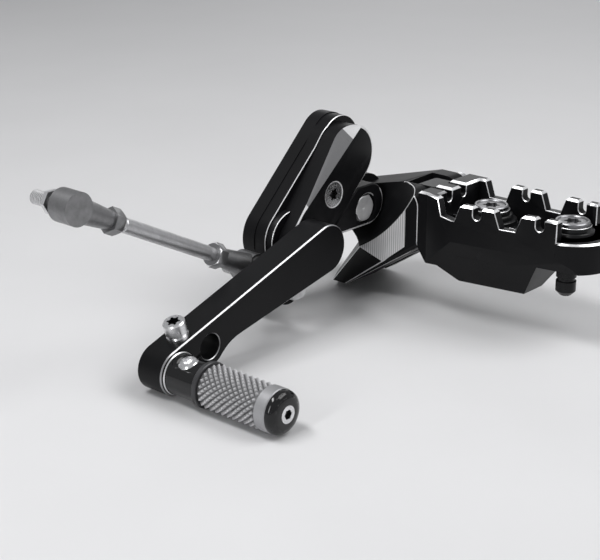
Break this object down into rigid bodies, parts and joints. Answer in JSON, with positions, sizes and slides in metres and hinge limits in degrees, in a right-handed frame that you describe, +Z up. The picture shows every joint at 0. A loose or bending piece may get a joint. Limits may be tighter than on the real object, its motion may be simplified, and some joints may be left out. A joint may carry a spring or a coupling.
{
  "type": "motorcycle rearset",
  "caption": "Motorcycle rearset for the shift side: a frame bracket with a pivoting shift lever, knurled toe peg, ball-jointed shift rod and folding toothed foot peg.",
  "frame": {"origin": "midway between the two frame bolts, on the bracket's back face that lies against the frame", "axes": "+Z up, -Y outward from the motorcycle, -X toward the front of the motorcycle"},
  "size_m": [0.2253, 0.1662, 0.0913],
  "materials": {
    "black_alloy": "black anodised, satin, with bright machined chamfers",
    "gloss_black_alloy": "black anodised, glossy",
    "grey_alloy": "grey anodised, bead blasted",
    "silver_alloy": "satin silver",
    "bright_steel": "bright stainless",
    "bronze": "plain bearing bronze",
    "boot_rubber": "matt black"
  },
  "bodies": {
    "bracket": {"peg_bracket": "black_alloy", "lever_carrier": "black_alloy", "cover_plate": "black_alloy", "cover_screw": "bright_steel", "frame_bolts": "bright_steel", "bush_outer": "bronze", "bush_inner": "bronze", "hinge_bolt": "bright_steel", "peg_spring": "bright_steel"},
    "lever": {"shift_lever": "black_alloy", "pivot_shaft": "bright_steel", "thrust_washer": "bronze", "retaining_washer": "bright_steel", "retaining_screw": "bright_steel", "clamp_bolt": "bright_steel", "clamp_washer": "bright_steel", "toe_holder": "gloss_black_alloy", "holder_screw": "bright_steel", "toe_collar": "grey_alloy", "toe_grip": "grey_alloy", "toe_ring": "grey_alloy", "toe_cap": "gloss_black_alloy", "toe_screw": "bright_steel", "rear_ball_stud": "bright_steel"},
    "rod": {"shift_rod": "silver_alloy", "rear_socket": "silver_alloy", "rear_jam_nut": "bright_steel", "rear_boot": "boot_rubber", "front_socket": "silver_alloy", "front_jam_nut": "bright_steel", "front_boot": "boot_rubber"},
    "front_stud": {"front_ball_stud": "bright_steel"},
    "peg": {"footpeg": "black_alloy", "grip_disc_inner": "black_alloy", "grip_disc_outer": "black_alloy", "grip_screws": "bright_steel", "peg_feeler": "bright_steel"}
  },
  "joints": [
    {"name": "shift_pivot", "type": "hinge", "parent": "bracket", "child": "lever", "pos_m": [-0.02135, -0.03, 0.00765], "axis": [0, 1, 0], "range_deg": [-10, 10]},
    {"name": "peg_fold", "type": "hinge", "parent": "bracket", "child": "peg", "pos_m": [0.04445, -0.0518, 0.0192], "axis": [-1, 0, 0], "range_deg": [0, 80], "stiffness_Nm_per_rad": 0.2, "springref_deg": -22.92},
    {"name": "rod_swing", "type": "hinge", "parent": "lever", "child": "rod", "pos_m": [-0.04619, -0.0205, -0.00004], "axis": [0, 1, 0], "range_deg": [-12, 12]},
    {"name": "front_stud_swing", "type": "hinge", "parent": "rod", "child": "front_stud", "pos_m": [-0.14954, -0.0205, 0.05262], "axis": [0, 1, 0], "range_deg": [-20, 20]}
  ]
}
